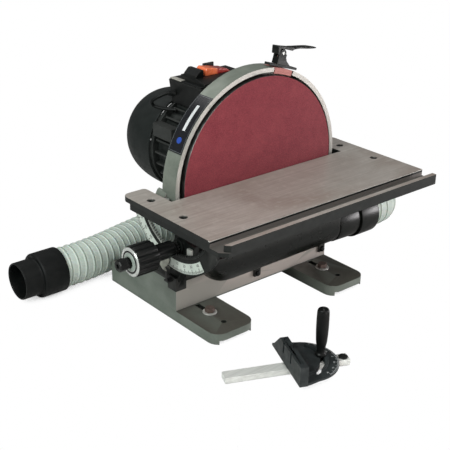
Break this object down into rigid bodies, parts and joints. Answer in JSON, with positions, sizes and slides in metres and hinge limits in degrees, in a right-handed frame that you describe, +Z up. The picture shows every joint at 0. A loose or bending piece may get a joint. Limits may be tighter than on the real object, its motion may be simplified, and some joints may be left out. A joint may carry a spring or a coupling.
{
  "type": "bench disc sander",
  "caption": "Bench disc sander with a tilting cast table, hooded disc with hand brake, dust chute and hose, and a loose mitre gauge.",
  "frame": {"origin": "centre of the object's box on the bench surface", "axes": "+X to the operator's right, +Y back from the disc towards the motor, +Z up"},
  "size_m": [0.6774, 0.5616, 0.4098],
  "materials": {
    "painted_casting": "hammered grey-green enamel, semi-gloss",
    "ground_iron": "ground and lightly oiled working face, black enamelled edges",
    "black_enamel": "satin black enamel",
    "motor_black": "satin black, slightly green",
    "cowl_plastic": "smooth moulded black",
    "black_plastic": "fine moulded texture",
    "abrasive": "dark red aluminium-oxide cloth",
    "bare_steel": "bright drawn steel",
    "zinc": "zinc plated",
    "switch_red": "translucent orange-red moulding",
    "hose_plastic": "pale grey-green ribbed hose",
    "rubber": "black",
    "scale_plate": "pale scale plate with black marks",
    "brake_lining": "salmon-red lining",
    "winding": "varnished copper windings",
    "lamination": "steel laminations",
    "cast_aluminium": "turned aluminium",
    "badge": "gloss black film with plain bars",
    "grey_plate": "satin plate"
  },
  "bodies": {
    "base": {"base_casting": "painted_casting", "bracket_bolt_left": "zinc", "brake_base_plate": "black_enamel", "brake_column": "black_plastic", "brake_lever_pin": "zinc", "chute_screw_left": "black_enamel", "chute_screw_right": "black_enamel", "disc_guard": "painted_casting", "dust_chute": "black_enamel", "dust_hose": "hose_plastic", "fan_cowl": "cowl_plastic", "foot_bolt_left": "zinc", "foot_bolt_right": "zinc", "foot_washer_left": "zinc", "foot_washer_right": "zinc", "front_bearing": "bare_steel", "guard_badge": "badge", "guard_screw_left": "zinc", "guard_screw_right": "zinc", "guide_stud_right": "zinc", "hose_adapter": "rubber", "motor_cord": "rubber", "motor_front_bell": "motor_black", "motor_housing": "motor_black", "motor_rear_bell": "motor_black", "rear_bearing": "bare_steel", "stator": "winding", "switch_box": "black_plastic", "switch_bracket": "black_enamel", "switch_housing": "black_plastic", "switch_plate": "grey_plate", "tilt_bracket_left": "black_enamel", "tilt_bracket_right": "black_enamel", "tilt_pointer": "zinc"},
    "disc": {"motor_shaft": "bare_steel", "disc_plate": "cast_aluminium", "disc_set_screw": "black_enamel", "abrasive_disc": "abrasive", "rotor": "lamination", "cooling_fan": "black_plastic"},
    "table": {"table_top": "ground_iron", "tilt_trunnion_left": "black_enamel", "tilt_trunnion_right": "black_enamel", "tilt_rack": "zinc", "tilt_scale": "scale_plate"},
    "tilt_knob": {"tilt_pinion_shaft": "bare_steel", "tilt_knob_grip": "black_plastic", "tilt_knob_ring": "bare_steel"},
    "tilt_lock": {"tilt_lock_nut": "black_plastic"},
    "brake_lever": {"brake_lever": "black_plastic"},
    "brake_shoe": {"brake_shoe": "brake_lining"},
    "switch_paddle": {"switch_paddle": "switch_red"},
    "mitre_gauge": {"gauge_bar": "bare_steel", "gauge_stop_screw": "black_enamel", "gauge_pivot_pin": "bare_steel"},
    "gauge_head": {"gauge_head": "black_enamel"},
    "gauge_handle": {"gauge_clamp_handle": "black_plastic"}
  },
  "joints": [
    {"name": "disc_spin", "type": "hinge", "parent": "base", "child": "disc", "pos_m": [-0.01169, 0.08583, 0.217], "axis": [0, 1, 0], "continuous": true},
    {"name": "table_tilt", "type": "hinge", "parent": "base", "child": "table", "pos_m": [-0.01169, -0.01717, 0.212], "axis": [1, 0, 0], "range_deg": [-15, 45]},
    {"name": "knob_turn", "type": "hinge", "parent": "base", "child": "tilt_knob", "pos_m": [-0.23169, -0.01335, 0.13399], "axis": [1, 0, 0], "range_deg": [-155, 464]},
    {"name": "lock_turn", "type": "hinge", "parent": "base", "child": "tilt_lock", "pos_m": [-0.27669, -0.01335, 0.13399], "axis": [1, 0, 0], "range_deg": [-120, 0]},
    {"name": "brake_press", "type": "hinge", "parent": "base", "child": "brake_lever", "pos_m": [0.03595, 0.00183, 0.39696], "axis": [0, 1, 0], "range_deg": [0, 8]},
    {"name": "shoe_travel", "type": "slide", "parent": "base", "child": "brake_shoe", "axis": [-0.284, 0, -0.9588], "range_m": [0, 0.0015]},
    {"name": "switch_rock", "type": "hinge", "parent": "base", "child": "switch_paddle", "pos_m": [0.00331, 0.12383, 0.346], "axis": [0, 1, 0], "range_deg": [-6, 0]},
    {"name": "gauge_slide", "type": "slide", "parent": "base", "child": "mitre_gauge", "axis": [0, -1, 0], "range_m": [0, 0.25]},
    {"name": "head_swing", "type": "hinge", "parent": "mitre_gauge", "child": "gauge_head", "pos_m": [-0.12868, -0.22295, 0.015], "axis": [0, 0, 1], "range_deg": [-50, 50]},
    {"name": "handle_turn", "type": "hinge", "parent": "mitre_gauge", "child": "gauge_handle", "pos_m": [-0.09017, -0.2397, 0.05], "axis": [0, 0, 1], "range_deg": [0, 180]}
  ],
  "couplings": [
    {"joint": "knob_turn", "follows": "table_tilt", "ratio": 10.298},
    {"joint": "shoe_travel", "follows": "brake_press", "m_per_rad": 0.0107}
  ]
}
